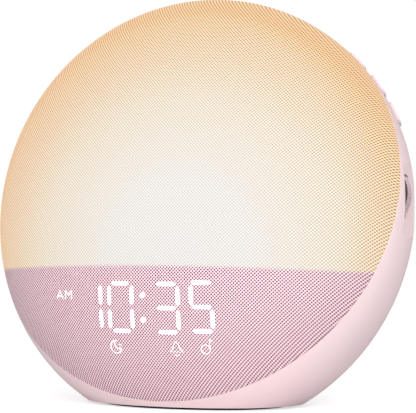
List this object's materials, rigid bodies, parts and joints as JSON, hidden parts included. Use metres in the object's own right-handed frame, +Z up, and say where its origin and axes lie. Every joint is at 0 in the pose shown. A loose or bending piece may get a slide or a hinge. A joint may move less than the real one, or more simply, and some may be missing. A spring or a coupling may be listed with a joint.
{
  "type": "sunrise alarm clock",
  "caption": "Rounded bedside sunrise alarm clock with cloth-covered glowing front, digit display, three side buttons, a thumb wheel and a rear speaker.",
  "frame": {"origin": "centre of the underside, on the surface the clock stands on", "axes": "+X is the viewer's right, -Y is the display side, +Z is up"},
  "size_m": [0.1839, 0.1078, 0.1709],
  "materials": {
    "housing_plastic": "pale pink, fine moulded texture",
    "button_plastic": "pale pink, smooth",
    "cloth": "pink open knit",
    "opal_plastic": "translucent opal",
    "fascia_plastic": "opaque plum",
    "light_guide": "white, light-conducting",
    "mask_plastic": "black",
    "white_plastic": "white reflective",
    "frame_plastic": "grey structural plastic",
    "foot_rubber": "dark, matt",
    "lamp_epoxy": "lamp body",
    "circuit_board": "green board",
    "chip_plastic": "black moulding",
    "socket_plastic": "cream nylon",
    "tin_can": "tinned can",
    "screw_steel": "zinc-plated",
    "capacitor_sleeve": "bare aluminium can",
    "cell_steel": "nickel-plated",
    "magnet_steel": "black lacquer",
    "basket_steel": "black lacquer",
    "cone_paper": "pressed paper",
    "surround_rubber": "soft rubber",
    "gasket_foam": "closed-cell foam",
    "switch_metal": "steel cover",
    "flex_film": "flat cable",
    "lead_sleeve": "insulated wire",
    "pin_brass": "nickel brass",
    "wheel_plastic": "pink ribbed rim",
    "bracket_steel": "pressed steel"
  },
  "bodies": {
    "case": {"rear_housing": "housing_plastic", "rubber_foot": "foot_rubber", "fabric_cover": "cloth", "light_diffuser": "opal_plastic", "lower_fascia": "fascia_plastic", "front_frame": "frame_plastic", "frame_screws": "screw_steel", "divider_baffle": "white_plastic", "led_board": "circuit_board", "led_packages": "lamp_epoxy", "led_board_screws": "screw_steel", "light_reflector": "white_plastic", "display_mask": "mask_plastic", "display_digits": "light_guide", "display_colon": "light_guide", "indicator_guides": "light_guide", "display_board": "circuit_board", "display_screws": "screw_steel", "speaker_gasket": "gasket_foam", "speaker_frame": "basket_steel", "speaker_magnet": "magnet_steel", "speaker_cone": "cone_paper", "speaker_surround": "surround_rubber", "speaker_screws": "screw_steel", "main_board": "circuit_board", "main_board_screws": "screw_steel", "processor_chip": "chip_plastic", "radio_module": "tin_can", "storage_capacitors": "capacitor_sleeve", "board_sockets": "socket_plastic", "cell_holder": "chip_plastic", "coin_cell": "cell_steel", "power_board": "circuit_board", "power_board_screws": "screw_steel", "power_inlet": "chip_plastic", "power_socket": "socket_plastic", "inlet_pin": "pin_brass", "tact_switches": "switch_metal", "switch_strip": "circuit_board", "switch_carrier": "frame_plastic", "wheel_bracket": "bracket_steel", "wheel_encoder": "chip_plastic", "bracket_screws": "screw_steel", "display_ribbon": "flex_film", "lamp_ribbon": "flex_film", "speaker_leads": "lead_sleeve", "power_leads": "lead_sleeve"},
    "lower_key": {"button_lower": "button_plastic", "plunger_lower": "chip_plastic"},
    "middle_key": {"button_middle": "button_plastic", "plunger_middle": "chip_plastic"},
    "upper_key": {"button_upper": "button_plastic", "plunger_upper": "chip_plastic"},
    "wheel": {"thumb_wheel": "wheel_plastic", "wheel_axle": "pin_brass"}
  },
  "joints": [
    {"name": "lower_press", "type": "slide", "parent": "case", "child": "lower_key", "axis": [-0.8755, -0.0839, -0.4759], "range_m": [0, 0.0006], "stiffness_N_per_m": 1500, "springref_m": -0.001},
    {"name": "middle_press", "type": "slide", "parent": "case", "child": "middle_key", "axis": [-0.7869, -0.1071, -0.6077], "range_m": [0, 0.0006], "stiffness_N_per_m": 1500, "springref_m": -0.001},
    {"name": "upper_press", "type": "slide", "parent": "case", "child": "upper_key", "axis": [-0.6782, -0.1276, -0.7237], "range_m": [0, 0.0006], "stiffness_N_per_m": 1500, "springref_m": -0.001},
    {"name": "wheel_turn", "type": "hinge", "parent": "case", "child": "wheel", "pos_m": [0.0783, 0.00361, 0.08617], "axis": [0, -0.9848, 0.1736], "continuous": true}
  ]
}
